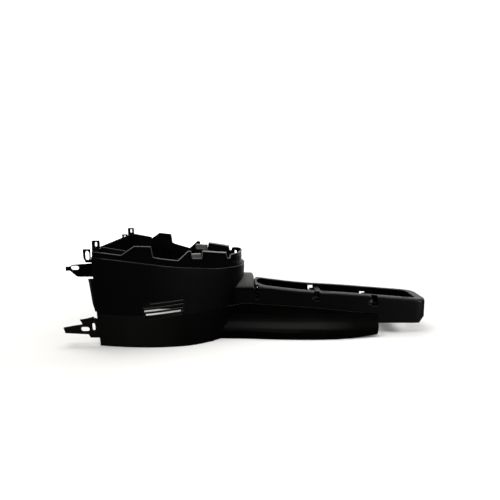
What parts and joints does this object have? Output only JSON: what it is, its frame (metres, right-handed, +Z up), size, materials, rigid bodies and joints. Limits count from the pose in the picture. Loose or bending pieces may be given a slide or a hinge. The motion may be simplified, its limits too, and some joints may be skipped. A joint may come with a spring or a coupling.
{
  "type": "car center console carrier",
  "caption": "Bare moulded center console body for a car: tapered open front housing with side vents, flared side skirts and a long rear carrier with an opening between rails",
  "frame": {"origin": "bottom centre of the bounding box, on the floor", "axes": "+X from the dashboard end to the nose, +Z up, Y across"},
  "size_m": [1.0664, 0.4274, 0.2975],
  "materials": {
    "housing": "fine moulded grain",
    "skirt": "fine moulded grain",
    "carrier": "satin moulded",
    "saddle": "satin grey moulded",
    "structure": "plain moulded",
    "grille": "satin moulded",
    "bracket": "plain moulded"
  },
  "bodies": {
    "root": {"front_housing": "housing", "side_skirt_near": "skirt", "side_skirt_far": "skirt", "rear_carrier": "carrier", "saddle_cover": "saddle", "front_cross_wall": "structure", "lower_cross_tie": "structure", "rear_mount_plate": "structure", "cross_member_1": "structure", "cross_member_2": "structure", "vent_grille_near": "grille", "double_wall_near": "structure", "trim_seat_near": "structure", "corner_post_near": "bracket", "upper_arm_near": "bracket", "lower_arm_near": "bracket", "return_flange_near": "structure", "clip_box_near": "bracket", "vent_grille_far": "grille", "double_wall_far": "structure", "trim_seat_far": "structure", "corner_post_far": "bracket", "upper_arm_far": "bracket", "lower_arm_far": "bracket", "return_flange_far": "structure", "clip_box_far": "bracket"}
  },
  "joints": []
}
